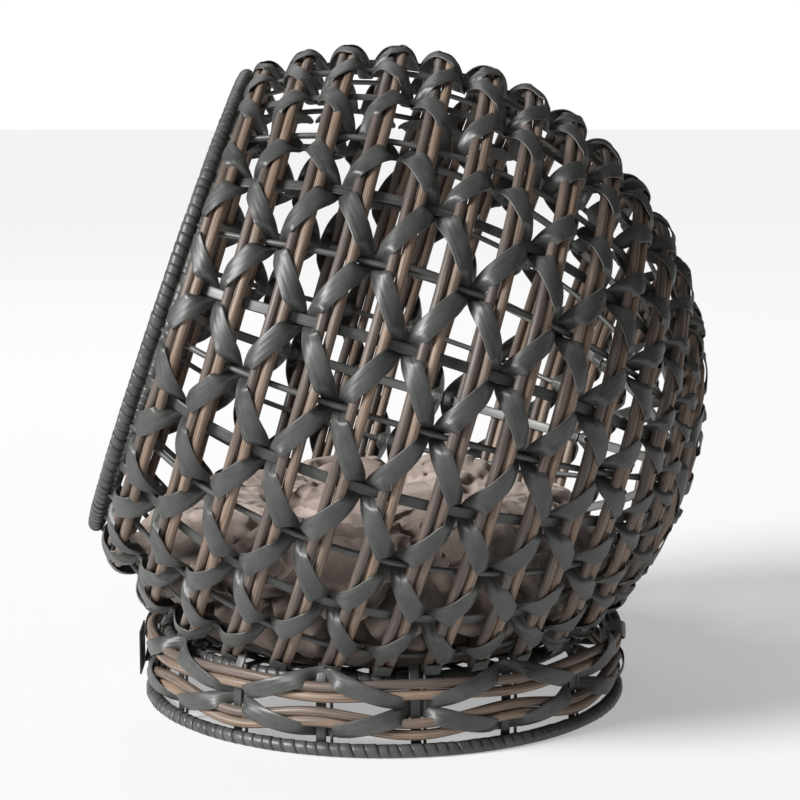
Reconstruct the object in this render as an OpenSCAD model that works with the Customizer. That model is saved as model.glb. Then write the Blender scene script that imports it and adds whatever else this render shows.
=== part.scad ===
// Ball-shaped wicker pet bed on a low round base, with a loose cushion.
// A bowl basket laid on its side: hoops of paired canes stand across a tilted axis,
// spokes run along it from the mouth rim to the back pole, and flat strands lash
// the canes to the spokes. The mouth faces -X and up. The ball's two sides are mirror
// images; the base's uprights are set round from the middle.

/* [Ball] */
// Radius of the ball, to the centre lines of the canes
ball_r = 245; // [240:1:250]
// How far the hoops of cane lean back from upright, in degrees
hoop_lean = 15.9; // [15:0.1:17]
// Angle from the basket's axis to the hoop of cane nearest the mouth, in degrees
first_hoop_angle = 54; // [53.5:0.1:54.5]
// Angle from one hoop of cane to the next, in degrees
hoop_step = 8.2; // [8.1:0.05:8.3]
// Height of the ball's flat floor above the ground
floor_h = 55; // [54:0.5:58]
// Height of the ball's centre above the ground
centre_h = 238; // [236:0.5:240]

/* [Mouth] */
// Angle from the basket's axis to the rim, in degrees
rim_angle = 49; // [48.5:0.1:49.5]
// How far the rim leans back from upright, in degrees
rim_lean = 19; // [18:0.1:20]
// How far the lower lip is drawn in from the round of the ball, as the shift of the rim's centre
lip_pull = 9.3; // [8:0.1:10]

/* [Cane and strand] */
// Diameter of a round cane
cane_d = 7.4; // [6.8:0.1:7.5]
// Width of the flat strand that lashes the canes
strand_w = 12.5; // [10:0.5:12.5]
// Thickness of the flat strand
strand_t = 1.2; // [1:0.1:1.5]
// Diameter of a round spoke
rod_d = 4.4; // [4:0.1:4.8]
// Width of a flat spoke
strip_w = 7.8; // [7:0.1:8.5]
// Thickness of a flat spoke
strip_t = 1.8; // [1.5:0.1:2.2]

/* [Base] */
// Radius of the wound ring on the ground, to its centre line
base_r = 177; // [175:1:180]
// How far the base sits behind the centre of the ball
base_back = 9.5; // [8:0.5:9.5]
// Diameter of the wound ring
base_ring_d = 10; // [9.5:0.1:11]

/* [Cushion] */
// Radius of the cushion at its widest
cushion_r = 186; // [180:1:188]
// Thickness of the cushion at its edge
cushion_h = 106; // [95:1:110]

/* [Hidden] */
$fn = 96;
hoops = 15;
spokes = 30;
gap = 0.4;                        // clearance between pieces that lie on each other
core_share = 0.68;                // share of a wound ring's diameter that its core takes
rim_d = 11.5;                     // wound rim
pair_gap = 0.3;                   // between the two canes of a pair
spoke_bulge = 3.4;                // spokes crowd down towards the level of the axis, in degrees
flat_from = 175;                  // the drawing-in of the lip dies out at this angle from the mouth
hub_angle = 174.2;                // where the round spokes end, at the back pole
strip_end_angle = 170.5;          // where the flat spokes end
hub_d = 6;
floor_edge_d = 10;
wrap_level = 3;                   // spoke level at which a lashing goes straight behind its canes
bar_reach = 0.62;                 // how far a lashing bar reaches across, as a share of the hoop spacing
first_bar_reach = 0.36;           // on the hoop beside the rim
bar_share = 0.6;                  // length along the hoop, as a share of the spoke spacing
upper_canes_h = 47.5;             // middle of each pair of base canes
lower_canes_h = 23.9;
uprights = 16;
first_upright = 7.2;              // angle from straight back, in degrees
wire_beside = 2.4;                // angle from an upright to the wire beside it
base_strand_w = 9.5;
foot_flat = 0.45;                 // how much is worn off under the base ring
floor_r = 155;                    // of the hoop that carries the floor
slat_pitch = 13.6;
slats_each_side = 10;
floor_rod_pitch = 24;
floor_rods_each_side = 6;
tag_h = 33;
tag_w = 36;

half_pair = (cane_d + pair_gap) / 2;
half_pair_angle = asin(half_pair / ball_r);
spoke_r = ball_r - cane_d / 2 - gap - rod_d / 2;
rim_drop = (1 - cos(flat_from - rim_angle)) / sin(rim_angle);
lip_shift = lip_pull / rim_drop;  // how much smaller the lip's own arc is, on each side
rim_r = ball_r * sin(rim_angle) - lip_pull;
rim_d_axis = ball_r * cos(rim_angle);

// The whole stands with the middle of its box over the origin.
front_x = -rim_d_axis * cos(rim_lean) + (lip_pull - rim_r) * sin(rim_lean) - rim_d / 2 * cos(rim_lean);
back_x = ball_r + cane_d / 2 + gap + strand_t;
ball_x = -(front_x + back_x) / 2;
base_x = ball_x + base_back;

function two(i) = i < 10 ? str("0", i) : str(i);
function hoop_angle(i) = first_hoop_angle + (i - 1) * hoop_step;
function lean(i) = hoop_lean + (i == 1 ? 0.5 : i == 2 ? 0.15 : 0) * (rim_lean - hoop_lean);
function pull(a) = a < flat_from ? lip_shift * (1 - cos(flat_from - a)) / sin(a) : 0;
function spoke_angle(k) = k * 360 / spokes + spoke_bulge * sin(k * 360 / spokes);

// Turns a piece so that its Z is the basket's axis, towards the mouth, and its X is up.
module on_axis(tilt) {
    translate([ball_x, 0, centre_h]) rotate([0, tilt - 90, 0]) children();
}

// A round bar bent into part of a ring, from one angle to another.
module ring_arc(r, d, from, to) {
    rotate([0, 0, from]) rotate_extrude(angle = to - from) translate([r, 0]) circle(d = d);
}

module ring(r, d) {
    rotate_extrude() translate([r, 0]) circle(d = d);
}

// The strand wound on a ring: a close sleeve round its core.
module wrap(r, d, flat) {
    rotate_extrude() translate([r, 0]) difference() {
        circle(d = d);
        circle(d = d * core_share + gap);
        translate([-d, -d / 2 - d + flat]) square([2 * d, d]);
    }
}

module rim_hoop() {
    color("#3a3a38") on_axis(rim_lean) translate([lip_pull, 0, rim_d_axis])
        ring(rim_r, rim_d * core_share);
}

module rim_wrap() {
    color("#5a5c59") on_axis(rim_lean) translate([lip_pull, 0, rim_d_axis])
        wrap(rim_r, rim_d, 0);
}

// Angle from the top at which a hoop meets the floor; 180 when it stays above it.
function hoop_end(i, a, end_h) =
    let (c = (end_h - centre_h - ball_r * cos(a) * sin(lean(i)) - pull(a) * cos(lean(i)))
             / ((ball_r * sin(a) - pull(a)) * cos(lean(i))))
    c <= -1 ? 180 : acos(c);

// Each hoop is two canes side by side, whole or ending just over the floor hoop.
module cane_pair(i) {
    color("#84705f") on_axis(lean(i)) for (side = [-1, 1]) {
        a = hoop_angle(i) + side * half_pair_angle;
        end = hoop_end(i, a, floor_h + cane_d / 2 + gap);
        translate([pull(a), 0, ball_r * cos(a)])
            ring_arc(ball_r * sin(a) - pull(a), cane_d, -end, end);
    }
}

// One length of flat strand laid slantwise over a pair of canes, between two spokes.
module lashing_bar(i, k) {
    a = hoop_angle(i);
    r = ball_r * sin(a) - pull(a);
    from = spoke_angle(k);
    to = spoke_angle(k + 1);
    middle = (from + to) / 2;
    slant = ((i + k) % 2 == 0 ? 1 : -1) * (k >= wrap_level ? 1 : -1);
    across = (i == 1 ? first_bar_reach : bar_reach) * ball_r * hoop_step * PI / 180;
    spacing = r * (to - from) * PI / 180;
    along = bar_share * spacing;
    width = min(strand_w, 0.2 * spacing + 1);
    lift = cane_d / 2 + gap + strand_t / 2;
    translate([pull(a), 0, ball_r * cos(a)]) rotate([0, 0, middle]) translate([r, 0, 0])
        rotate([0, -(90 - a), 0]) translate([lift, 0, 0])
        rotate([slant * atan2(along, across), 0, 0])
        cube([strand_t, width, norm([across, along])], center = true);
}

module lashing(i) {
    end = hoop_end(i, hoop_angle(i), floor_h + cane_d);
    color("#4e504e") on_axis(lean(i)) for (k = [0:spokes / 2 - 1])
        if (end == 180 || spoke_angle(k + 1) - 2 < end) {
            lashing_bar(i, k);
            mirror([0, 1, 0]) lashing_bar(i, k);
        }
}

// A spoke bends round the ball as one arc in its own plane. On the lower side the arc is
// smaller and its centre lies further back, so that it follows the drawn-in lip.
function spoke_shift(phi) = lip_shift * (1 - cos(phi));

// Angle at which a spoke's arc crosses a plane, whose normal has the parts along and across
// the basket's axis, at a distance from the ball's centre.
function crossing(phi, along, across, distance, sign) =
    let (c = spoke_shift(phi), m = norm([along, across]),
         d = distance - c * (along * cos(flat_from) + across * sin(flat_from)))
    atan2(across, along) + sign * acos(max(-1, min(1, d / ((spoke_r - c) * m))));

function rim_stop(phi) =
    let (d = rim_lean - hoop_lean)
    crossing(phi, cos(d), sin(d) * cos(phi), rim_d_axis - rim_d / 2 - rod_d / 2 - gap, 1);

// Forward (sign 1) and backward (sign -1) crossing of the level just over the floor.
function floor_stop(phi, sign) =
    crossing(phi, sin(hoop_lean), cos(phi) * cos(hoop_lean),
             floor_h + rod_d / 2 + gap - centre_h, sign);

function reaches_floor(phi) =
    let (m = norm([sin(hoop_lean), cos(phi) * cos(hoop_lean)]))
    (centre_h - floor_h - rod_d) / (spoke_r * m) < 1 && floor_stop(phi, 1) < hub_angle;

module spoke_arc(phi, from, to) {
    c = spoke_shift(phi);
    if (to > from)
        rotate([0, 0, phi]) rotate(a = -120, v = [1, 1, 1])
            translate(c * [cos(flat_from), sin(flat_from), 0])
            rotate([0, 0, from]) rotate_extrude(angle = to - from)
            translate([spoke_r - c, 0]) children();
}

// One spoke from the rim to the back pole, or in two lengths where the floor cuts it.
module spoke(phi, end) {
    if (reaches_floor(phi)) {
        spoke_arc(phi, rim_stop(phi), floor_stop(phi, 1)) children();
        spoke_arc(phi, floor_stop(phi, -1) + 360, end) children();
    } else spoke_arc(phi, rim_stop(phi), end) children();
}

module spoke_rods() {
    color("#6b6c6a") on_axis(hoop_lean) for (k = [1:2:spokes / 2])
        for (side = k == spokes / 2 ? [1] : [-1, 1])
            spoke(side * spoke_angle(k), hub_angle) circle(d = rod_d);
}

module spoke_strips() {
    color("#555653") on_axis(hoop_lean) for (k = [0:2:spokes / 2])
        for (side = k == 0 ? [1] : [-1, 1])
            spoke(side * spoke_angle(k), strip_end_angle) square([strip_t, strip_w], center = true);
}

module hub_ring() {
    color("#3a3a38") on_axis(hoop_lean)
        translate([0, 0, spoke_r * cos(hub_angle) - 1])
        ring(spoke_r * sin(hub_angle) - hub_d / 2 - rod_d / 2 - gap, hub_d);
}

module floor_hoop() {
    color("#3a3a38") translate([ball_x, 0, floor_h - floor_edge_d / 2]) ring(floor_r, floor_edge_d);
}

// Close floor under the cushion: flat slats fore and aft, with rods across below them.
module floor_slats() {
    r = floor_r - floor_edge_d / 2 - 1;
    color("#4e504e") for (n = [-slats_each_side:slats_each_side]) {
        off = abs(n) * slat_pitch + strand_w / 2;
        translate([ball_x, n * slat_pitch, floor_h - strand_t - 2 * gap])
            cube([2 * sqrt(pow(r, 2) - pow(off, 2)), strand_w, strand_t], center = true);
    }
}

module floor_rods() {
    r = floor_r - floor_edge_d / 2 - 1;
    color("#6b6c6a") for (n = [-floor_rods_each_side:floor_rods_each_side]) {
        off = abs(n) * floor_rod_pitch + rod_d / 2;
        translate([ball_x + n * floor_rod_pitch, 0, floor_h - 1.5 * strand_t - 3 * gap - rod_d / 2])
            rotate([90, 0, 0]) cylinder(h = 2 * sqrt(pow(r, 2) - pow(off, 2)), d = rod_d, center = true);
    }
}

module base_ring() {
    color("#3a3a38") translate([base_x, 0, base_ring_d / 2 - foot_flat])
        ring(base_r, base_ring_d * core_share);
}

module base_wrap() {
    color("#5a5c59") translate([base_x, 0, base_ring_d / 2 - foot_flat])
        wrap(base_r, base_ring_d, foot_flat);
}

module base_canes(h) {
    color("#84705f") for (side = [-1, 1])
        translate([base_x, 0, h + side * half_pair]) ring(base_r, cane_d);
}

// Flat uprights inside the base canes, from the wound ring up to the ball.
module base_uprights() {
    low = base_ring_d + gap;
    color("#4e504e") translate([base_x, 0, 0]) for (n = [0:uprights - 1])
        rotate([0, 0, first_upright + n * 360 / uprights])
        translate([base_r - cane_d / 2 - gap - strip_t, -strip_w / 2, low])
        cube([strip_t, strip_w, floor_h - low]);
}

// A thin wire beside each upright.
module base_wires() {
    low = base_ring_d + gap;
    color("#6b6c6a") translate([base_x, 0, 0]) for (n = [0:uprights - 1])
        rotate([0, 0, first_upright + n * 360 / uprights + wire_beside])
        translate([base_r - cane_d / 2 - gap - rod_d / 2, 0, low])
        cylinder(h = floor_h - low, d = rod_d / 2);
}

// Flat strand zig-zagging over a pair of base canes, down to one upright and up to the next.
module base_lashing(h, first_slant) {
    bay = 360 / uprights;
    length = base_r * PI * bay / 180;
    slope = atan2(cane_d + pair_gap + strand_w, length);
    color("#4e504e") translate([base_x, 0, h]) for (n = [0:uprights - 1])
        rotate([0, 0, first_upright + (n + 0.5) * bay])
        translate([base_r + cane_d / 2 + gap + strand_t / 2, 0, 0])
        rotate([(n % 2 == 0 ? 1 : -1) * first_slant * slope, 0, 0])
        cube([strand_t, length * 0.66, base_strand_w], center = true);
}

// A plain stitched-on tag on the front of the base.
module tag() {
    middle_h = (upper_canes_h + lower_canes_h) / 2 - strip_w / 2;
    color("#1d1d1d")
        translate([base_x - base_r - cane_d / 2 - 2 * gap - 3 * strand_t, 0, middle_h])
        cube([strand_t, tag_w, tag_h], center = true);
}

// The cushion fills the bowl over the floor: flat below, rounded at the edge, crowned on top.
module cushion() {
    edge = cushion_h / 2;
    lip = spoke_shift(180);
    color("#8f8177") intersection() {
        on_axis(hoop_lean) translate([0, 0, -lip]) sphere(r = spoke_r - lip - rod_d);
        translate([ball_x, 0, floor_h + gap]) rotate_extrude() union() {
            square([cushion_r - edge, cushion_h]);
            translate([cushion_r - edge, edge]) circle(r = edge);
            square([cushion_r - edge / 2, edge]);
        }
    }
}

rim_hoop();
rim_wrap();
for (i = [1:hoops]) cane_pair(i);
for (i = [1:hoops]) lashing(i);
spoke_rods();
spoke_strips();
hub_ring();
floor_hoop();
floor_slats();
floor_rods();
base_ring();
base_wrap();
base_canes(upper_canes_h);  // base_upper_canes
base_canes(lower_canes_h);  // base_lower_canes
base_uprights();
base_wires();
base_lashing(upper_canes_h, 1);  // base_upper_lashing
base_lashing(lower_canes_h, -1);  // base_lower_lashing
tag();
cushion();
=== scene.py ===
import math

import bmesh
import bpy
import numpy as np
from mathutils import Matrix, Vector, noise


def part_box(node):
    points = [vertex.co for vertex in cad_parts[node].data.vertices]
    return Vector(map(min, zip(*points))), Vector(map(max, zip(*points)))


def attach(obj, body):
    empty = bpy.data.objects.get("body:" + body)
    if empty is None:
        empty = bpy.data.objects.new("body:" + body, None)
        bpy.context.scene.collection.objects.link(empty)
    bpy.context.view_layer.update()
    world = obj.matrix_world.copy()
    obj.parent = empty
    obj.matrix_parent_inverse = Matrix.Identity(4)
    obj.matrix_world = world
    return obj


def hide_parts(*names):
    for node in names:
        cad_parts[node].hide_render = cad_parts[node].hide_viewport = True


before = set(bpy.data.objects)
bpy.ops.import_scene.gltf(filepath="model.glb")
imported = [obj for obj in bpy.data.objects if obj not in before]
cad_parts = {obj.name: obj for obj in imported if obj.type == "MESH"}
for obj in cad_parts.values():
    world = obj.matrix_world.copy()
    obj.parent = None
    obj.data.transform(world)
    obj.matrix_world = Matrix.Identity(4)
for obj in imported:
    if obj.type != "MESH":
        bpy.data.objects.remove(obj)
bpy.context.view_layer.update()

# ---------------------------------------------------------------- measures, in metres and degrees
BALL_R = 0.245          # to the centre lines of the canes
CENTRE_H = 0.238        # height of the ball's middle over the ground
CANE_R = 0.0037
CANE_APART = 0.00385    # half the spacing of the two canes of a pair
HOOPS = 15
FIRST_HOOP = 54
HOOP_STEP = 8.2
RIM_AT = 49
LIP_PULL = 0.0093       # how far the lower lip is drawn in
ROD_R = 0.0022
STRIP_W = 0.0078
STRIP_T = 0.0018
STRAND_W = 0.0144
SPOKE_DEPTH = -0.0063   # middle of the spokes, under the middle of the canes
SPOKES = 30
BEHIND = -0.0096        # a strand's depth where it turns behind a spoke
UNDER = -0.0105         # a strand's depth where it goes back behind a pair of canes
ACROSS_PAIR = 0.0142    # how far a strand reaches to each side of its pair
ACROSS_FOLD = 0.0118    # the same where it folds back under the pair
STRAND_T = 0.0011
OPEN_HOOPS = 13         # the hoops behind these are too small to be lashed at every spoke
AXIS_LEAN = 15.9        # how far the mouth's axis leans up, at the back of the ball

floor_low, floor_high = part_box("floor_hoop")
wrap_low, wrap_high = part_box("base_wrap")
FLOOR_H = floor_high.z
CENTRE = np.array([(floor_low.x + floor_high.x) / 2, 0.0, CENTRE_H])
FLOOR_R = (floor_high.x - floor_low.x) / 2
BASE_X = (wrap_low.x + wrap_high.x) / 2
BASE_RING_R = 0.005
BASE_R = (wrap_high.x - wrap_low.x) / 2 - BASE_RING_R
SIDE = np.array([0.0, 1.0, 0.0])

chance = np.random.RandomState(7)
noise.seed_set(7)       # else noise_vector takes its places from the clock


def spoke_angle(k):
    """Angle of a spoke from the crown. Spokes crowd down towards the level of the ball's middle."""
    return k * 360 / SPOKES + 3.4 * math.sin(math.radians(k * 360 / SPOKES))


def hoop_angle(i):
    return FIRST_HOOP + (i - 1) * HOOP_STEP


def smooth(low, high, x):
    t = np.clip((x - low) / (high - low), 0, 1)
    return t * t * (3 - 2 * t)


def lip_pull(theta):
    """How far a hoop is drawn in and up at an angle from the mouth's axis."""
    most = LIP_PULL * math.sin(math.radians(RIM_AT)) / (1 - math.cos(math.radians(175 - RIM_AT)))
    t = np.clip(theta, 1, 175)
    return most * (1 - np.cos(np.radians(175 - t))) / np.sin(np.radians(t))


def on_ball(theta, phi, height):
    """Points of the ball: theta from the mouth's axis, phi round it from the crown, height out from the
    middle of the canes. The hoops nearest the mouth lean back a little more than the rest."""
    theta, phi, height = np.broadcast_arrays(theta, phi, height)
    lean = np.radians(np.interp(theta, [RIM_AT, 54, 62.2, 70.4], [19, 17.45, 16.37, AXIS_LEAN]))
    t, p = np.radians(theta), np.radians(phi)
    none = np.zeros_like(lean)
    axis = np.stack([-np.cos(lean), none, np.sin(lean)], -1)
    up = np.stack([np.sin(lean), none, np.cos(lean)], -1)
    out = up * np.cos(p)[..., None] + SIDE * np.sin(p)[..., None]
    pull = lip_pull(theta)[..., None]
    ct, st = np.cos(t)[..., None], np.sin(t)[..., None]
    middle = CENTRE + axis * BALL_R * ct + up * pull + out * (BALL_R * st - pull)
    return middle + (axis * ct + out * st) * height[..., None]


def phi_at_floor(theta, level):
    """Angle from the crown at which a hoop comes down to a level, or 180 if it stays above it."""
    phi = np.linspace(90, 180, 361)
    z = on_ball(theta, phi, 0.0)[:, 2]
    low = np.nonzero(z < level)[0]
    return float(phi[low[0]]) if len(low) else 180.0


# ---------------------------------------------------------------- making pieces
def new_shape():
    shape = bmesh.new()
    shape.loops.layers.uv.new("lay")
    shape.verts.layers.float.new("tone")
    return shape


def lay(shape, along, across, place, size=(1.0, 1.0), tone=0.0):
    """Lays a grid of faces on place(u, v), u along and v across, from 0 to 1. Size is for its pattern."""
    uv = shape.loops.layers.uv.active
    grid = bmesh.ops.create_grid(shape, x_segments=along, y_segments=across, size=0.5, calc_uvs=True)
    made = grid["verts"]
    flat = np.array([v.co for v in made]) + 0.5
    points = place(flat[:, 0], flat[:, 1])
    layer = shape.verts.layers.float["tone"]
    for v, f, p in zip(made, flat, points):
        v.co = p
        v[layer] = tone
        for corner in v.link_loops:
            corner[uv].uv = (f[0] * size[0], f[1] * size[1])
    return made


def close_up(shape, weld=1e-5, outward=True):
    """Welds seams, closes open ends and turns the faces outwards."""
    bmesh.ops.remove_doubles(shape, verts=shape.verts, dist=weld)
    if outward:
        rims = [e for e in shape.edges if e.is_boundary]
        if rims:
            bmesh.ops.holes_fill(shape, edges=rims, sides=40)
        bmesh.ops.recalc_face_normals(shape, faces=shape.faces)


def piece(name, shape, material, body, replaced=(), wall=0.0, rounds=0):
    mesh = bpy.data.meshes.new(name)
    for f in shape.faces:
        f.smooth = True
    shape.to_mesh(mesh)
    shape.free()
    obj = bpy.data.objects.new(name, mesh)
    bpy.context.scene.collection.objects.link(obj)
    mesh.materials.append(material)
    if wall:
        m = obj.modifiers.new("wall", "SOLIDIFY")
        m.thickness = wall
        m.offset = 0
        m.use_even_offset = False
    if rounds:
        m = obj.modifiers.new("rounding", "SUBSURF")
        m.levels = rounds
        m.render_levels = rounds
    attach(obj, body)
    if replaced:
        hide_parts(*replaced)
    return obj


# ---------------------------------------------------------------- finishes
class Finish:
    """A material made of nodes, with short ways to add them."""

    def __init__(self, name):
        self.mat = bpy.data.materials.new(name)
        self.mat.use_nodes = True
        self.tree = self.mat.node_tree
        self.shader = self.tree.nodes["Principled BSDF"]

    def node(self, kind, **settings):
        n = self.tree.nodes.new(kind)
        for key, value in settings.items():
            if key in n.inputs:
                n.inputs[key].default_value = value
            else:
                setattr(n, key, value)
        return n

    def link(self, a, b):
        self.tree.links.new(a, b)
        return b

    def coords(self, which="Object", scale=(1, 1, 1)):
        source = self.node("ShaderNodeTexCoord")
        mapping = self.node("ShaderNodeMapping")
        mapping.inputs["Scale"].default_value = scale
        self.link(source.outputs[which], mapping.inputs["Vector"])
        return mapping.outputs["Vector"]

    def noise(self, where, scale, detail=3.0, rough=0.5):
        n = self.node("ShaderNodeTexNoise")
        n.inputs["Scale"].default_value = scale
        n.inputs["Detail"].default_value = detail
        n.inputs["Roughness"].default_value = rough
        self.link(where, n.inputs["Vector"])
        return n.outputs["Fac"]

    def span(self, value, low, high, to_low=0.0, to_high=1.0):
        n = self.node("ShaderNodeMapRange")
        n.inputs["From Min"].default_value = low
        n.inputs["From Max"].default_value = high
        n.inputs["To Min"].default_value = to_low
        n.inputs["To Max"].default_value = to_high
        self.link(value, n.inputs["Value"])
        return n.outputs["Result"]

    def sum(self, a, b, kind="ADD"):
        n = self.node("ShaderNodeMath", operation=kind)
        for value, socket in zip((a, b), n.inputs):
            if isinstance(value, (int, float)):
                socket.default_value = value
            else:
                self.link(value, socket)
        return n.outputs[0]

    def blend(self, share, a, b, kind="MIX"):
        n = self.node("ShaderNodeMix", data_type="RGBA", blend_type=kind)
        for value, socket in ((share, n.inputs[0]), (a, n.inputs[6]), (b, n.inputs[7])):
            if isinstance(value, (int, float)):
                socket.default_value = value
            elif isinstance(value, tuple):
                socket.default_value = (*value, 1)
            else:
                self.link(value, socket)
        return n.outputs[2]

    def bump(self, height, distance, strength=1.0, under=None):
        n = self.node("ShaderNodeBump")
        n.inputs["Strength"].default_value = strength
        n.inputs["Distance"].default_value = distance
        self.link(height, n.inputs["Height"])
        if under is not None:
            self.link(under, n.inputs["Normal"])
        return n.outputs["Normal"]

    def end(self, colour, rough, normal=None, **fixed):
        for value, name in ((colour, "Base Color"), (rough, "Roughness")):
            if isinstance(value, (int, float)):
                self.shader.inputs[name].default_value = value
            elif isinstance(value, tuple):
                self.shader.inputs[name].default_value = (*value, 1)
            else:
                self.link(value, self.shader.inputs[name])
        if normal is not None:
            self.link(normal, self.shader.inputs["Normal"])
        for name, value in fixed.items():
            self.shader.inputs[name.replace("_", " ")].default_value = value
        return self.mat


def cane_finish():
    """Round plastic cane in mauve grey and tan, streaked along its length."""
    f = Finish("streaked_cane")
    streaks = f.coords("UV", (22, 1100, 1))
    slow = f.coords("UV", (6, 60, 1))
    tone = f.node("ShaderNodeAttribute", attribute_name="tone")
    drift = f.span(f.noise(slow, 1.0, 2), 0.3, 0.7, -0.35, 0.35)
    share = f.sum(tone.outputs["Fac"], drift)
    base = f.blend(f.span(share, 0.1, 0.9), (0.1, 0.079, 0.07), (0.24, 0.168, 0.118))
    line = f.noise(streaks, 1.0, 4, 0.6)
    dark = f.blend(f.span(line, 0.46, 0.6, 0.0, 0.7), base, (0.048, 0.037, 0.033))
    pale = f.blend(f.span(line, 0.42, 0.3, 0.0, 0.55), dark, (0.34, 0.27, 0.215))
    rough = f.span(line, 0.3, 0.7, 0.42, 0.56)
    return f.end(pale, rough, f.bump(line, 0.0003, 0.5), Specular_IOR_Level=0.45)


def strand_finish(name="flat_strand", low=(0.033, 0.034, 0.0325), high=(0.063, 0.065, 0.062), ribs=4.0):
    """Flat dark grey strand, satin, ribbed lengthwise."""
    f = Finish(name)
    uv = f.coords("UV", (1, 1, 1))
    split = f.node("ShaderNodeSeparateXYZ")
    f.link(uv, split.inputs[0])
    rib = f.sum(f.sum(split.outputs["Y"], ribs * 2 * math.pi / 0.0145, "MULTIPLY"), 0, "COSINE")
    grain = f.noise(f.coords("UV", (40, 1400, 1)), 1.0, 3)
    cloud = f.noise(f.coords("Object", (1, 1, 1)), 45, 5, 0.65)
    colour = f.blend(f.span(cloud, 0.34, 0.66), low, high)
    colour = f.blend(f.span(grain, 0.5, 0.72, 0.0, 0.4), colour, (0.15, 0.152, 0.145))
    near = f.span(split.outputs["Y"], 0.0007, 0.0)
    far = f.span(split.outputs["Y"], STRAND_W - 0.0007, STRAND_W)
    colour = f.blend(f.sum(f.sum(near, far, "MAXIMUM"), 0.55, "MULTIPLY"), colour, (0.2, 0.203, 0.195))
    normal = f.bump(rib, 0.0001, 0.35)
    normal = f.bump(grain, 0.00015, 0.5, normal)
    return f.end(colour, f.span(grain, 0.3, 0.7, 0.36, 0.5), normal, Specular_IOR_Level=0.5)


def rod_finish():
    """Round dark grey rod, satin."""
    f = Finish("round_rod")
    grain = f.noise(f.coords("UV", (30, 900, 1)), 1.0, 3)
    colour = f.blend(f.span(grain, 0.35, 0.7), (0.05, 0.051, 0.049), (0.1, 0.101, 0.098))
    return f.end(colour, f.span(grain, 0.3, 0.7, 0.38, 0.5), f.bump(grain, 0.0002, 0.5))


def velvet_finish():
    """Crushed taupe velvet, with painted shade darkening it in its creases."""
    f = Finish("crushed_velvet")
    where = f.coords("Object", (1, 1, 1))
    patch = f.noise(where, 26, 4, 0.6)
    fine = f.noise(where, 900, 2)
    colour = f.blend(f.span(patch, 0.35, 0.68), (0.21, 0.163, 0.14), (0.37, 0.305, 0.268))
    # painted shade: where the fold attribute marks a crease, the colour is darkened towards near black
    fold = f.node("ShaderNodeAttribute", attribute_name="fold")
    colour = f.blend(f.span(fold.outputs["Fac"], 0.0, 1.0, 0.0, 0.88), colour, (0.05, 0.036, 0.03))
    normal = f.bump(fine, 0.0006, 0.5, f.bump(patch, 0.004, 0.5))
    return f.end(colour, 0.85, normal, Sheen_Weight=0.6, Sheen_Roughness=0.4,
                 Sheen_Tint=(0.75, 0.68, 0.63, 1), Specular_IOR_Level=0.2)


def tag_finish():
    f = Finish("woven_tag")
    weave = f.noise(f.coords("Object", (1, 1, 1)), 1500, 1)
    colour = f.blend(f.span(weave, 0.4, 0.6), (0.012, 0.012, 0.012), (0.03, 0.03, 0.03))
    return f.end(colour, 0.7, f.bump(weave, 0.0002, 0.5))


CANE = cane_finish()
STRAND = strand_finish()
ROD = rod_finish()
VELVET = velvet_finish()
TAG = tag_finish()


# ---------------------------------------------------------------- hoops of paired canes
def tube(shape, line, radius, length, sides=12, stations=200, tone=0.0, start=0.0):
    """A round bar laid along line(u), which gives points, and two directions across it."""
    def place(u, v):
        middle, outward, sideways = line(u)
        a = 2 * math.pi * v
        return middle + radius * (outward * np.sin(a)[:, None] + sideways * np.cos(a)[:, None])
    made = lay(shape, stations, sides, place, (length, 2 * math.pi * radius), tone)
    uv = shape.loops.layers.uv.active
    for v in made:
        for corner in v.link_loops:
            corner[uv].uv.x += start
    return made


def cane_hoops():
    for i in range(1, HOOPS + 1):
        shape = new_shape()
        for s in (-1, 1):
            theta = hoop_angle(i) + s * math.degrees(CANE_APART / BALL_R)
            end = phi_at_floor(theta, FLOOR_H + CANE_R)
            r = BALL_R * math.sin(math.radians(theta))
            length = 2 * math.radians(end) * r
            waves = chance.uniform(0, 2 * math.pi, 4)
            sizes = chance.uniform(0.0001, 0.0003, 4)

            def line(u):
                phi = -end + 2 * end * u
                p = np.radians(phi)
                rise = sum(a * np.sin(n * p + w) for a, n, w in zip(sizes, (5, 9, 14, 23), waves))
                sway = sum(a * np.sin(n * p - w) for a, n, w in zip(sizes, (7, 11, 16, 3), waves))
                t = theta + np.degrees(sway / BALL_R) * 0.6
                middle = on_ball(t, phi, rise)
                outward = (on_ball(t, phi, 0.001) - on_ball(t, phi, 0.0)) / 0.001
                sideways = on_ball(t + 0.05, phi, 0.0) - on_ball(t - 0.05, phi, 0.0)
                sideways = sideways / np.linalg.norm(sideways, axis=1)[:, None]
                return middle, outward, sideways

            tone = (0.78 if s > 0 else 0.2) + chance.uniform(-0.15, 0.15)
            tube(shape, line, CANE_R, length, 12, max(40, int(length / 0.006)), tone, 3.7 * i + s)
        close_up(shape)
        node = f"cane_pair_{i:02d}"
        piece(f"canes_{i:02d}", shape, CANE, "basket", [node])


cane_hoops()


# ---------------------------------------------------------------- strands that lash the canes to the spokes
NODE_SHIFT = chance.uniform(-1, 1, (HOOPS + 2, SPOKES + 1, 3))


def turn_side(i, k):
    """Side of its pair on which a strand turns behind spoke k: 1 towards the back, -1 towards the mouth."""
    odd = (i + k) % 2
    return (1 if odd else -1) * (1 if k >= 4 else -1)


def hoop_radius(theta, phi):
    """How sharply a hoop bends where a strand crosses it, less where the lip is drawn in."""
    drawn_in = float(lip_pull(np.array(theta))) * (1 - math.cos(math.radians(phi)))
    return BALL_R * math.sin(math.radians(theta)) - drawn_in


def over_pair(across):
    """Height of a strand, which lies flat over the two canes of a pair and bends down beside them."""
    return 0.0052 - 0.0082 * np.abs(across / 0.0145) ** 3


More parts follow.
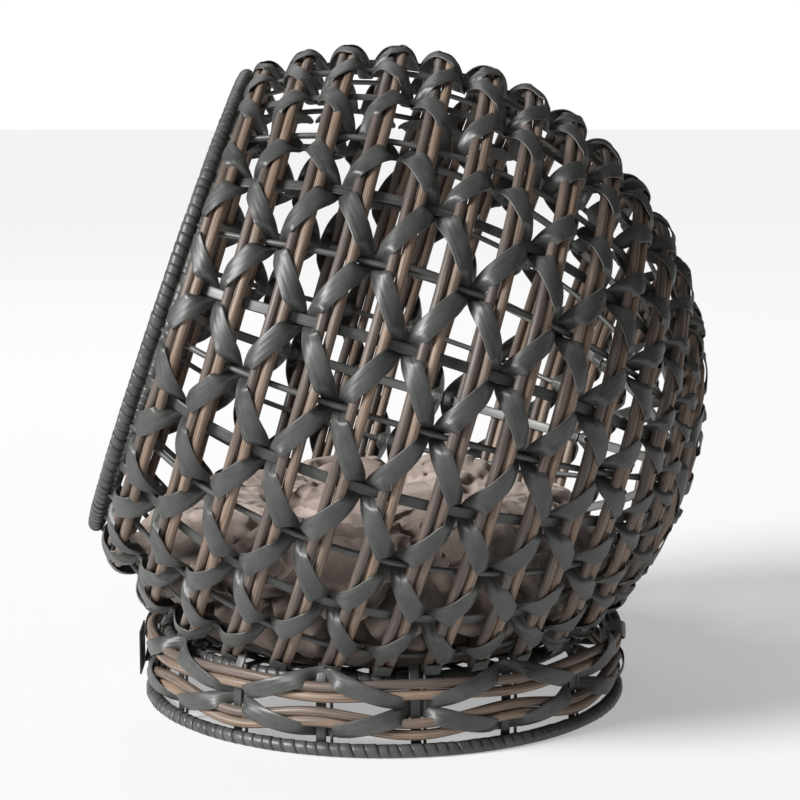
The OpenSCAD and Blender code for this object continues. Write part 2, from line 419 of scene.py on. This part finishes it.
def clear_of_canes(across, height):
    """Moves points of a strand out of the two canes."""
    clear = CANE_R + 0.0008
    for middle in (-CANE_APART, CANE_APART):
        d = np.hypot(across - middle, height)
        grow = np.where(d < clear, clear / np.maximum(d, 1e-6), 1.0)
        across = middle + (across - middle) * grow
        height = height * grow
    return across, height


def strand_path(u, v, side, reach, span, width):
    """Place of a strand's points on its way from one side of a pair to the other, across and along."""
    way = 0.42 * np.cos(math.pi * u) + 0.58 * (1 - 2 * u)
    turn = -0.42 * math.pi * np.sin(math.pi * u) - 1.16
    l = side * reach * way
    dl = side * reach * turn
    ds = span * np.ones_like(u)
    size = np.hypot(dl, ds)
    middle = smooth(0.0, 0.22, u) * smooth(1.0, 0.78, u)
    wl = (1 - middle) + middle * ds / size
    ws = -middle * dl / size
    size = np.hypot(wl, ws)
    w = (v - 0.5) * width * (0.72 + 0.28 * smooth(0.0, 0.3, u) * smooth(1.0, 0.7, u))
    return l + w * wl / size, span * u + w * ws / size


def crossing(shape, i, start, stop, side, depth, fold, width,
             start_shift=(0, 0), stop_shift=(0, 0), mirror=1):
    """One length of strand over a pair of canes, from behind one spoke to behind the next.
    fold says at which end it folds under the canes instead: 0 none, 1 at the stop, -1 at the start."""
    theta = hoop_angle(i)
    r = hoop_radius(theta, (start + stop) / 2)
    span = r * math.radians(stop - start)
    reach_a = ACROSS_FOLD if fold == -1 else ACROSS_PAIR + 0.0006 * start_shift[0]
    reach_b = ACROSS_FOLD if fold == 1 else ACROSS_PAIR + 0.0006 * stop_shift[0]
    bulge = 0.0004 * (1 + chance.uniform(-1, 1))
    curls = 0.0013 * (1 + chance.uniform(-0.8, 1, 2))
    width = width * (1 + 0.05 * chance.uniform(-1, 1))

    def place(u, v):
        u = u - 0.1 * np.sin(2 * math.pi * u)
        reach = reach_a + (reach_b - reach_a) * u
        across, along = strand_path(u, v, side, reach, span, width)
        from_spoke = np.minimum(np.abs(along), np.abs(span - along))
        if fold == 1:
            from_spoke = np.abs(along)
        if fold == -1:
            from_spoke = np.abs(span - along)
        up = over_pair(across) + bulge * np.sin(math.pi * np.clip(u, 0, 1)) ** 4
        lip = from_spoke - 0.0018 * (1 - (2 * v - 1) ** 2)
        curl = np.where(u < 0.5, curls[0], curls[1]) * np.exp(-((lip - 0.0068) / 0.002) ** 2)
        h = depth + (up - depth) * smooth(0.001, 0.0068, lip) + curl
        if fold:
            h = h + (UNDER - h) * smooth(0.72, 1.0, u if fold == 1 else 1 - u)
        across, h = clear_of_canes(across, h)
        phi = start + np.degrees(along / r)
        return on_ball(theta + np.degrees(across / BALL_R), mirror * phi, h)

    lay(shape, 20, 6, place, (math.hypot(span, 0.029), STRAND_W), chance.uniform(0, 1))


def under_pair(shape, i, at, side, half, width, mirror=1):
    """The length of strand that goes straight back behind a pair of canes."""
    theta = hoop_angle(i)
    r = hoop_radius(theta, at)

    def place(u, v):
        across, along = strand_path(u, v, side, ACROSS_FOLD, 2 * half, width)
        phi = at + np.degrees((along - half) / r)
        return on_ball(theta + np.degrees(across / BALL_R), mirror * phi, UNDER * np.ones_like(u))

    lay(shape, 10, 6, place, (0.03, STRAND_W), 0.5)


def end_loop(shape, i, end, mirror):
    """A strand looped round the cut ends of a pair of canes: down their face, under and up behind."""
    theta = hoop_angle(i)
    r = BALL_R * math.sin(math.radians(theta))
    slant = 0.004 * chance.uniform(-1, 1)

    def place(u, v):
        turn = math.pi * smooth(0.3, 0.7, u)
        face = 0.013 * (1 - smooth(0.0, 0.36, u)) + 0.013 * smooth(0.64, 1.0, u)
        h = 0.0049 * np.cos(turn)
        along = 0.0032 * np.sin(turn) - face
        across = (v - 0.5) * 0.0125 + slant * (0.5 - u)
        phi = end + np.degrees(along / r)
        return on_ball(theta + np.degrees(across / BALL_R), mirror * phi, h)

    lay(shape, 16, 4, place, (0.04, STRAND_W), chance.uniform(0, 1))


def lashings():
    for i in range(1, HOOPS + 1):
        shape = new_shape()
        theta = hoop_angle(i)
        r = BALL_R * math.sin(math.radians(theta))
        end = phi_at_floor(theta, FLOOR_H + 0.004)
        width = STRAND_W if i < 12 else 0.8 * STRAND_W
        depth = BEHIND - (0.0014 if i % 2 else 0)
        if i > OPEN_HOOPS:
            stops = list(range(0, SPOKES + 1, 3))
            for n, (k, m) in enumerate(zip(stops, stops[1:])):
                side = 1 if (n + i) % 2 else -1
                a, b = spoke_angle(k), spoke_angle(m)
                crossing(shape, i, a, b, side, depth, 0, width)
        else:
            for mirror in (1, -1):
                for k in range(0, 15):
                    a, b = spoke_angle(k), spoke_angle(k + 1)
                    if end < 180 and b > end + 1.5:
                        end_loop(shape, i, end, mirror)
                        break
                    ends = NODE_SHIFT[i][k], NODE_SHIFT[i][k + 1]
                    side = turn_side(i, k)
                    half = math.degrees(0.009 / r)
                    if k == 2:
                        crossing(shape, i, a, b - half, side, depth, 1, width, *ends, mirror)
                        under_pair(shape, i, b, -side, 0.009, width, mirror)
                    elif k == 3:
                        side = -turn_side(i, 4)
                        crossing(shape, i, a + half, b, side, depth, -1, width, *ends, mirror)
                    else:
                        crossing(shape, i, a, b, side, depth, 0, width, *ends, mirror)
        bmesh.ops.remove_doubles(shape, verts=shape.verts, dist=0.0004)
        bmesh.ops.recalc_face_normals(shape, faces=shape.faces)
        piece(f"strands_{i:02d}", shape, STRAND, "basket", [f"lashing_{i:02d}"], STRAND_T, 1)


lashings()


# ---------------------------------------------------------------- spokes
def spoke_line(phi, start, stop):
    """Centre line of a spoke round the ball, which rises to meet the rim."""
    def line(u):
        theta = start + (stop - start) * u
        h = SPOKE_DEPTH + 0.0045 * smooth(54, 50, theta)
        p = np.full_like(theta, phi)
        middle = on_ball(theta, p, h)
        outward = (on_ball(theta, p, h + 0.001) - middle) / 0.001
        sideways = on_ball(theta, p + 0.05, h) - on_ball(theta, p - 0.05, h)
        sideways = sideways / np.linalg.norm(sideways, axis=1)[:, None]
        return middle, outward, sideways
    return line


def spoke_lengths(phi, stop):
    """A spoke runs in one length, or in two where the floor cuts it."""
    theta = np.linspace(RIM_AT + 1.2, stop, 400)
    z = on_ball(theta, np.full_like(theta, phi), SPOKE_DEPTH)[:, 2]
    above = z > FLOOR_H + 0.003
    runs, begin = [], None
    for t, ok in zip(theta, above):
        if ok and begin is None:
            begin = t
        if not ok and begin is not None:
            runs.append((begin, t))
            begin = None
    if begin is not None:
        runs.append((begin, stop))
    return runs


def strip_section(v):
    """Section of a flat spoke, a flat face with rounded edges: across and up, for v round it."""
    a = 2 * math.pi * v
    x = np.sign(np.cos(a)) * np.abs(np.cos(a)) ** 0.35 * STRIP_W / 2
    y = np.sign(np.sin(a)) * np.abs(np.sin(a)) ** 0.8 * STRIP_T / 2
    return x, y


def spokes():
    rods, strips = new_shape(), new_shape()
    for k in range(-14, 16):
        phi = math.copysign(spoke_angle(abs(k)), k)
        if k % 2:
            for start, stop in spoke_lengths(phi, 174.2):
                length = BALL_R * math.radians(stop - start)
                stations = max(8, int(length / 0.008))
                tube(rods, spoke_line(phi, start, stop), ROD_R, length, 10, stations, 0.0, 1.3 * k)
        else:
            for start, stop in spoke_lengths(phi, 170.5):
                length = BALL_R * math.radians(stop - start)
                line = spoke_line(phi, start, stop)

                def place(u, v):
                    middle, outward, sideways = line(u)
                    x, y = strip_section(v)
                    return middle + outward * y[:, None] + sideways * x[:, None]

                lay(strips, max(8, int(length / 0.008)), 20, place, (length, 0.02), 0.0)
    close_up(rods)
    close_up(strips)
    piece("rods", rods, ROD, "basket", ["spoke_rods"])
    piece("strips", strips, STRAND, "basket", ["spoke_strips"])


spokes()


# ---------------------------------------------------------------- wound rings
def wound_ring(name, line, ring_length, radius, pitch, replaced, stations=14):
    """A strand wound closely on a ring, each turn lapping on the last."""
    turns = int(round(ring_length / pitch))
    shape = new_shape()
    ruffle = chance.uniform(-1, 1, turns + 1)
    ruffle[-1] = ruffle[0]

    def place(u, v):
        a = 2 * math.pi * turns * u
        stray = np.interp(u * turns, np.arange(turns + 1), ruffle[::-1])
        at = np.mod(u + ((v - 0.5) * 1.14 + 0.16 * stray) / turns, 1.0)
        middle, outward, sideways = line(at)
        crown = 0.0001 * (1 - (2 * v - 1) ** 2) + 0.0005 * (v - 0.5)
        crown = crown + 0.0002 * np.interp(u * turns, np.arange(turns + 1), ruffle)
        size = radius - 0.0002 + crown
        points = middle + size[:, None] * (outward * np.sin(a)[:, None] + sideways * np.cos(a)[:, None])
        points[:, 2] = np.maximum(points[:, 2], 0.0005)
        return points

    lay(shape, turns * stations, 4, place, (turns * 2 * math.pi * radius, pitch), 0.0)
    bmesh.ops.remove_doubles(shape, verts=shape.verts, dist=1e-5)
    bmesh.ops.recalc_face_normals(shape, faces=shape.faces)
    return piece(name, shape, WOUND, "basket", replaced, 0.0006)


def ball_ring(theta, height):
    """A ring round the axis of the mouth: the rim, or the hub at the back pole."""
    def line(u):
        phi = 360 * u
        t = np.full_like(phi, float(theta))
        middle = on_ball(t, phi, height)
        outward = on_ball(t, phi, height + 0.001) - middle
        outward = outward / np.linalg.norm(outward, axis=1)[:, None]
        along = on_ball(t, phi + 0.05, height) - on_ball(t, phi - 0.05, height)
        along = along / np.linalg.norm(along, axis=1)[:, None]
        return middle, outward, np.cross(along, outward)
    return line


def level_ring(middle_x, radius, height):
    def line(u):
        a = 2 * math.pi * u
        out = np.stack([np.cos(a), np.sin(a), np.zeros_like(a)], -1)
        middle = np.array([middle_x, 0, height]) + radius * out
        up = np.zeros_like(out)
        up[:, 2] = 1
        return middle, out, up
    return line


WOUND = strand_finish("wound_strand", (0.038, 0.039, 0.037), (0.072, 0.074, 0.071), 3.0)
RIM_R = BALL_R * math.sin(math.radians(RIM_AT)) - LIP_PULL
wound_ring("rim", ball_ring(RIM_AT, 0.0), 2 * math.pi * RIM_R, 0.0053, 0.0072, ["rim_wrap", "rim_hoop"])
HUB_R = (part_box("hub_ring")[1].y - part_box("hub_ring")[0].y) / 2 - 0.003
hub_at = 180 - math.degrees(math.asin(HUB_R / (BALL_R + SPOKE_DEPTH)))
wound_ring("hub", ball_ring(hub_at, SPOKE_DEPTH - 0.001), 2 * math.pi * HUB_R, 0.003, 0.0052, ["hub_ring"])
foot = level_ring(BASE_X, BASE_R, wrap_high.z - BASE_RING_R)
wound_ring("foot_ring", foot, 2 * math.pi * BASE_R, 0.00485, 0.0083, ["base_wrap"])
EDGE_D = floor_high.z - floor_low.z
EDGE_R = FLOOR_R - EDGE_D / 2
edge = level_ring(CENTRE[0], EDGE_R, FLOOR_H - EDGE_D / 2)
wound_ring("floor_edge", edge, 2 * math.pi * EDGE_R, EDGE_D / 2 - 0.0004, 0.0083, ["floor_hoop"])


# ---------------------------------------------------------------- base
UPRIGHTS = 16
FIRST_UPRIGHT = 7.2
BESIDE_CANES = -0.0052  # middle of the uprights, inside the middle of the canes
upper_low, upper_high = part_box("base_upper_canes")
lower_low, lower_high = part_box("base_lower_canes")
UPPER_H = (upper_low.z + upper_high.z) / 2
LOWER_H = (lower_low.z + lower_high.z) / 2


def pair_height(level, angle):
    """Height of a pair of base canes: the pairs draw apart and together between the uprights."""
    wave = np.cos(np.radians(UPRIGHTS / 2 * (angle - FIRST_UPRIGHT)))
    return UPPER_H + 0.0015 * wave if level else LOWER_H - 0.004 * wave


def round_base(angle, height, out):
    """Points round the base: angle from straight back in degrees, out from the middle of the canes."""
    a = np.radians(angle)
    r = BASE_R + out
    return np.stack([BASE_X + r * np.cos(a), r * np.sin(a), height + 0 * a], -1)


def base_canes():
    for level, node in enumerate(("base_lower_canes", "base_upper_canes")):
        shape = new_shape()
        for s, tone in ((-1, 0.75), (1, 0.3)):
            waves = chance.uniform(0, 2 * math.pi, 3)

            def line(u):
                angle = 360 * u
                sway = sum(0.0003 * np.sin(n * np.radians(angle) + w) for n, w in zip((5, 9, 13), waves))
                height = pair_height(level, angle) + s * CANE_APART + sway
                middle = round_base(angle, height, sway)
                out = round_base(angle, height, sway + 0.001) - middle
                up = np.zeros_like(out)
                up[:, 2] = 1
                return middle, out / 0.001, up

            tube(shape, line, CANE_R, 2 * math.pi * BASE_R, 12, 220, tone, 2.2 * s + level)
        close_up(shape)
        piece(node.replace("base_", "round_"), shape, CANE, "basket", [node])


def base_strands():
    """Strand that zig-zags over each pair of base canes and turns behind the uprights."""
    bay = 360 / UPRIGHTS
    span = BASE_R * math.radians(bay)
    for level, node in enumerate(("base_lower_lashing", "base_upper_lashing")):
        shape = new_shape()
        for n in range(UPRIGHTS):
            start = FIRST_UPRIGHT + n * bay
            side = (-1 if n % 2 == 0 else 1) * (1 if level else -1)
            bulge = 0.0006 * (1 + chance.uniform(-1, 1))

            def place(u, v):
                across, along = strand_path(u, v, side, 0.0125, span, 0.0125)
                from_upright = np.minimum(np.abs(along), np.abs(span - along))
                depth = -0.0082
                up = over_pair(across) + bulge * np.sin(math.pi * np.clip(u, 0, 1)) ** 4
                out = depth + (up - depth) * smooth(0.003, 0.014, from_upright)
                across, out = clear_of_canes(across, out)
                angle = start + np.degrees(along / BASE_R)
                return round_base(angle, pair_height(level, angle) + across, out)

            lay(shape, 18, 6, place, (span, 0.0135), chance.uniform(0, 1))
        bmesh.ops.remove_doubles(shape, verts=shape.verts, dist=0.0004)
        bmesh.ops.recalc_face_normals(shape, faces=shape.faces)
        piece(node.replace("lashing", "strands"), shape, STRAND, "basket", [node], STRAND_T, 1)


def base_uprights():
    low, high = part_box("base_uprights")
    flats, wires = new_shape(), new_shape()
    for n in range(UPRIGHTS):
        angle = FIRST_UPRIGHT + n * 360 / UPRIGHTS
        top = high.z + 0.009
        lean = 0.4 * chance.uniform(-1, 1)

        def flat(u, v):
            x, y = strip_section(v)
            z = low.z - 0.003 + (top - low.z + 0.003) * u
            inward = 0.006 * smooth(high.z - 0.004, top, z)
            return round_base(angle + lean * u + np.degrees(x / BASE_R), z, BESIDE_CANES - inward + y)

        lay(flats, 12, 20, flat, (top - low.z, 0.02), 0.5)

        def wire(u):
            z = low.z - 0.003 + (high.z - low.z + 0.006) * u
            at = angle + 2.5 + lean
            middle = round_base(at + 0 * u, z, BESIDE_CANES + 0 * u)
            out = round_base(at + 0 * u, z, BESIDE_CANES + 0.001 + 0 * u) - middle
            return middle, out / 0.001, np.cross([0, 0, 1], out / 0.001)

        tube(wires, wire, 0.0012, high.z - low.z, 8, 10, 0.5, n)
    close_up(flats)
    close_up(wires)
    piece("uprights", flats, STRAND, "basket", ["base_uprights"])
    piece("wires", wires, ROD, "basket", ["base_wires"])


base_canes()
base_strands()
base_uprights()

# ---------------------------------------------------------------- floor
SLAT_PITCH = 0.0136
SLAT_W = 0.0124
SLATS_EACH_SIDE = 10
FLOOR_ROD_PITCH = 0.024
FLOOR_RODS_EACH_SIDE = 6


def floor_weave():
    """The close floor: flat slats fore and aft, over and under rods that run across."""
    low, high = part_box("floor_rods")
    level = (low.z + high.z) / 2
    reach = EDGE_R - EDGE_D / 2
    slats, rods = new_shape(), new_shape()
    for n in range(-SLATS_EACH_SIDE, SLATS_EACH_SIDE + 1):
        half = math.sqrt(reach ** 2 - (abs(n) * SLAT_PITCH + 0.006) ** 2)

        def slat(u, v):
            x = half * (2 * u - 1)
            wave = np.cos(math.pi * x / FLOOR_ROD_PITCH) * (1 if n % 2 else -1)
            y = n * SLAT_PITCH + (v - 0.5) * SLAT_W
            return np.stack([CENTRE[0] + x, y, level + 0.0029 * wave], -1)

        lay(slats, max(6, int(half / 0.003)), 2, slat, (2 * half, STRAND_W), chance.uniform(0, 1))
    for n in range(-FLOOR_RODS_EACH_SIDE, FLOOR_RODS_EACH_SIDE + 1):
        half = math.sqrt(reach ** 2 - (n * FLOOR_ROD_PITCH) ** 2)

        def rod(u):
            y = half * (2 * u - 1)
            middle = np.stack([CENTRE[0] + n * FLOOR_ROD_PITCH + 0 * y, y, level + 0 * y], -1)
            up = np.zeros_like(middle)
            up[:, 2] = 1
            return middle, up, np.cross([0, 1, 0], up)

        tube(rods, rod, ROD_R, 2 * half, 8, 12, 0.5, n)
    bmesh.ops.recalc_face_normals(slats, faces=slats.faces)
    close_up(rods)
    piece("woven_slats", slats, STRAND, "basket", ["floor_slats"], STRAND_T)
    piece("woven_rods", rods, ROD, "basket", ["floor_rods"])


floor_weave()

for node, finish in (("base_ring", ROD), ("tag", TAG)):
    for material_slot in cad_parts[node].material_slots:
        material_slot.material = finish

# ---------------------------------------------------------------- cushion
BOWL_SHIFT = 0.0088     # the cushion is kept a little back from the drawn-in lip
BACK_AND_DOWN = np.array([math.cos(math.radians(AXIS_LEAN)), 0, -math.sin(math.radians(AXIS_LEAN))])
BOWL = CENTRE + BOWL_SHIFT * BACK_AND_DOWN
BOWL_R = 0.2262
WEAVE_R = 0.2318        # no part of the cushion is further than this from the ball's middle
SEAMS = 9
TUCK_H = 0.134          # height of the tuck that runs round the cushion's side
VOXEL = 0.0046
MOST_SWELL = 0.018      # cap on how far the cloth may move as it fills
PUFF_SLACK = 0.0045     # how far past BOWL_R the puffs may come


def inside_bowl(points, slack=0.0):
    """Points of the cushion, kept within the weave and over the floor."""
    away = points - BOWL
    far = np.linalg.norm(away, axis=1)[:, None]
    points = BOWL + away * np.minimum(1, (BOWL_R + slack) / far)
    away = points - CENTRE
    far = np.linalg.norm(away, axis=1)[:, None]
    points = CENTRE + away * np.minimum(1, WEAVE_R / far)
    points[:, 2] = np.maximum(points[:, 2], FLOOR_H + 0.0005)
    return points


def seam_line(turn):
    """Nought along the cushion's sewn seams, and one half way between two of them."""
    return np.abs(np.sin(0.5 * SEAMS * turn + 0.35 * np.sin(2 * turn + 1)))


def cushion_start(middle, radius, height):
    """The sewn shape before it is filled: a thick round pad, dished on top, with seams outwards."""
    shape = bmesh.new()
    bmesh.ops.create_uvsphere(shape, u_segments=96, v_segments=48, radius=1)
    co = np.array([v.co for v in shape.verts])
    turn = np.arctan2(co[:, 1], co[:, 0])
    flat = np.hypot(co[:, 0], co[:, 1])
    out = radius * flat ** 0.62
    up = 0.5 * height * np.sign(co[:, 2]) * np.abs(co[:, 2]) ** 0.8
    top = smooth(0.0, 0.3, co[:, 2])
    up = up - 0.026 * top * smooth(0.62, 0.3, out / radius)
    seam = seam_line(turn)
    pinch = np.exp(-(seam / 0.16) ** 2) * smooth(0.35, 0.65, out / radius)
    puff = np.abs(np.sin(1.5 * SEAMS * turn + 0.8 * np.sin(3 * turn))) * smooth(0.1, -0.5, co[:, 2])
    waist = np.exp(-((co[:, 2] - 0.3 - 0.12 * np.sin(3 * turn + 1)) / 0.16) ** 2)
    out = out - 0.010 * pinch - 0.008 * puff * smooth(0.5, 0.8, out / radius) - 0.011 * waist
    up = up - 0.010 * pinch * top
    points = np.stack([middle.x + out * np.cos(turn), middle.y + out * np.sin(turn), middle.z + up], -1)
    for v, p in zip(shape.verts, inside_bowl(points)):
        v.co = p
    return shape


def fill_cushion(obj):
    """Blows the cover up between its seams, so that the cloth swells and wrinkles."""
    mesh = obj.data
    start = np.zeros(len(mesh.vertices) * 3)
    mesh.vertices.foreach_get("co", start)
    start = start.reshape(-1, 3)
    away = start - np.array([CENTRE[0], 0, 0])
    turn = np.arctan2(away[:, 1], away[:, 0])
    out = np.hypot(away[:, 0], away[:, 1]) / start[:, 0].ptp() * 2
    seam = seam_line(turn)
    top = start[:, 2] > FLOOR_H + 0.045
    held = (seam < 0.05) & (out > 0.55) & top
    held |= (np.abs(out - 0.56) < 0.02) & top
    held |= start[:, 2] < FLOOR_H + 0.004
    group = obj.vertex_groups.new(name="held")
    group.add([int(n) for n in np.nonzero(held)[0]], 1.0, "ADD")
    cloth = obj.modifiers.new("cloth", "CLOTH")
    how = cloth.settings
    how.quality = 6
    how.mass = 0.15
    how.tension_stiffness = 12
    how.compression_stiffness = 8
    how.shear_stiffness = 5
    how.bending_stiffness = 0.08
    how.shrink_min = -0.12
    how.use_pressure = True
    how.uniform_pressure_force = 3.5
    how.effector_weights.gravity = 0
    how.vertex_group_mass = "held"
    cloth.collision_settings.use_collision = False
    for step in range(1, 21):
        bpy.context.scene.frame_set(step)
    done = obj.evaluated_get(bpy.context.evaluated_depsgraph_get()).to_mesh()
    swollen = np.zeros(len(done.vertices) * 3)
    done.vertices.foreach_get("co", swollen)
    move = swollen.reshape(-1, 3) - start
    far = np.linalg.norm(move, axis=1)[:, None]
    move = move * np.minimum(1, MOST_SWELL / np.maximum(far, 1e-9))
    obj.modifiers.remove(cloth)
    obj.vertex_groups.clear()
    mesh.vertices.foreach_set("co", inside_bowl(start + move).ravel())
    mesh.update()
    bpy.context.scene.frame_set(1)


def fold_cushion(mesh):
    """Presses creases into the velvet: long ones over the top, and a tuck and puffed gathers below. Their
    depth is also kept as the fold attribute, which paints shade into the velvet's colour.
    """
    count = len(mesh.vertices)
    co, out = np.zeros(count * 3), np.zeros(count * 3)
    mesh.vertices.foreach_get("co", co)
    mesh.vertices.foreach_get("normal", out)
    co, out = co.reshape(-1, 3), out.reshape(-1, 3)
    crease = np.zeros(count)
    swell = np.zeros(count)
    for n, p in enumerate(co):
        at = Vector(p)
        bend = noise.noise_vector(at * 14) * 0.035
        long_fold = noise.noise((at + bend) * 11)
        short_fold = noise.noise((at + bend) * 27 + Vector((5, 1, 3)))
        near, next_near = noise.voronoi((at + bend * 0.5) * 21)[0][:2]
        below = float(smooth(0.150, 0.112, p[2]))
        gather = math.exp(-((next_near - near) / 0.2) ** 2)
        top = math.exp(-(long_fold / 0.085) ** 2) + 0.45 * math.exp(-(short_fold / 0.11) ** 2)
        tuck = math.exp(-((p[2] - TUCK_H - 0.012 * long_fold) / 0.011) ** 2)
        crease[n] = max(below * gather + (1 - below) * 0.55 * top, 0.85 * tuck)
        swell[n] = below * 0.009 * (1 - near) - 0.002 * short_fold
    side = smooth(0.3, 0.75, np.hypot(co[:, 0] - CENTRE[0], co[:, 1]) / 0.18)
    move = swell - (0.008 + 0.006 * side) * crease * smooth(FLOOR_H + 0.002, FLOOR_H + 0.02, co[:, 2])
    mesh.vertices.foreach_set("co", inside_bowl(co + out * move[:, None], PUFF_SLACK).ravel())
    # the crease depth kept here darkens the velvet's colour as painted shade
    fold = mesh.attributes.new("fold", "FLOAT", "POINT")
    fold.data.foreach_set("value", np.clip(crease, 0, 1) ** 1.5)
    mesh.update()


def shaped(obj):
    """The mesh of a piece with its modifiers worked in."""
    return bpy.data.meshes.new_from_object(obj.evaluated_get(bpy.context.evaluated_depsgraph_get()))


def cushion():
    low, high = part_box("cushion")
    middle = (low + high) / 2
    shape = cushion_start(middle, (high.y - low.y) / 2 - 0.004, high.z - low.z - 0.006)
    bmesh.ops.recalc_face_normals(shape, faces=shape.faces)
    obj = piece("pad", shape, VELVET, "cushion")
    obj.parent = None
    remesh = obj.modifiers.new("remesh", "REMESH")
    remesh.mode = "VOXEL"
    remesh.voxel_size = VOXEL
    obj.data = shaped(obj)
    obj.modifiers.remove(remesh)
    fill_cushion(obj)
    finer = obj.modifiers.new("rounding", "SUBSURF")
    finer.levels = 1
    finer.render_levels = 1
    obj.data = shaped(obj)
    obj.modifiers.remove(finer)
    fold_cushion(obj.data)
    for f in obj.data.polygons:
        f.use_smooth = True
    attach(obj, "cushion")
    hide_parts("cushion")


cushion()


# ---------------------------------------------------------------- room, light and camera
def room():
    floor = bmesh.new()
    bmesh.ops.create_grid(floor, x_segments=1, y_segments=1, size=6)
    mesh = bpy.data.meshes.new("floor")
    floor.to_mesh(mesh)
    floor.free()
    obj = bpy.data.objects.new("floor", mesh)
    bpy.context.scene.collection.objects.link(obj)
    paint = Finish("pale_floor")
    white = (1, 1, 1, 1)
    mesh.materials.append(paint.end((0.5, 0.5, 0.5), 0.9, Emission_Color=white, Emission_Strength=0.38))
    world = bpy.data.worlds.new("soft_room")
    bpy.context.scene.world = world
    world.use_nodes = True
    world.node_tree.nodes["Background"].inputs["Color"].default_value = (1, 1, 1, 1)
    world.node_tree.nodes["Background"].inputs["Strength"].default_value = 0.1
    dome = bmesh.new()
    bmesh.ops.create_uvsphere(dome, u_segments=32, v_segments=16, radius=7)
    bmesh.ops.reverse_faces(dome, faces=dome.faces)
    mesh = bpy.data.meshes.new("backdrop")
    dome.to_mesh(mesh)
    dome.free()
    obj = bpy.data.objects.new("backdrop", mesh)
    bpy.context.scene.collection.objects.link(obj)
    glow = Finish("white_backdrop")
    mesh.materials.append(glow.end((0, 0, 0), 1.0, Emission_Color=(1, 1, 1, 1), Emission_Strength=1.0))
    obj.visible_diffuse = False
    obj.visible_glossy = False
    obj.visible_transmission = False
    obj.visible_shadow = False
    bpy.context.scene.view_settings.view_transform = "Standard"


def lamp(name, place, size, power):
    data = bpy.data.lights.new(name, "AREA")
    data.energy = power
    data.size = size
    obj = bpy.data.objects.new(name, data)
    obj.location = place
    aim = Vector(CENTRE) - Vector(place)
    obj.rotation_euler = aim.to_track_quat("-Z", "Y").to_euler()
    bpy.context.scene.collection.objects.link(obj)


def sun(place, spread, power):
    data = bpy.data.lights.new("key", "SUN")
    data.energy = power
    data.angle = math.radians(spread)
    obj = bpy.data.objects.new("key", data)
    aim = Vector(CENTRE) - Vector(place)
    obj.rotation_euler = aim.to_track_quat("-Z", "Y").to_euler()
    bpy.context.scene.collection.objects.link(obj)


def camera():
    data = bpy.data.cameras.new("camera")
    obj = bpy.data.objects.new("camera", data)
    bpy.context.scene.collection.objects.link(obj)
    bpy.context.scene.camera = obj
    az, el = math.radians(-0.56), math.radians(10)
    right = Vector((math.cos(az), math.sin(az), 0))
    ahead = Vector((-math.sin(az) * math.cos(el), math.cos(az) * math.cos(el), -math.sin(el)))
    up = right.cross(ahead)
    aim = Vector(CENTRE) + right * 0.02135 - up * 0.01447
    obj.location = aim - ahead * 1.955
    obj.rotation_euler = ahead.to_track_quat("-Z", "Y").to_euler()
    data.sensor_width = 36
    data.lens = 18 / (400 / 2600)


room()
sun((-2.3, -1.15, 1.8), 24, 5.6)
lamp("fill", (-0.6, -2.2, 1.1), 1.4, 5)
lamp("back", (-0.6, 1.8, 1.9), 1.2, 8)
camera()
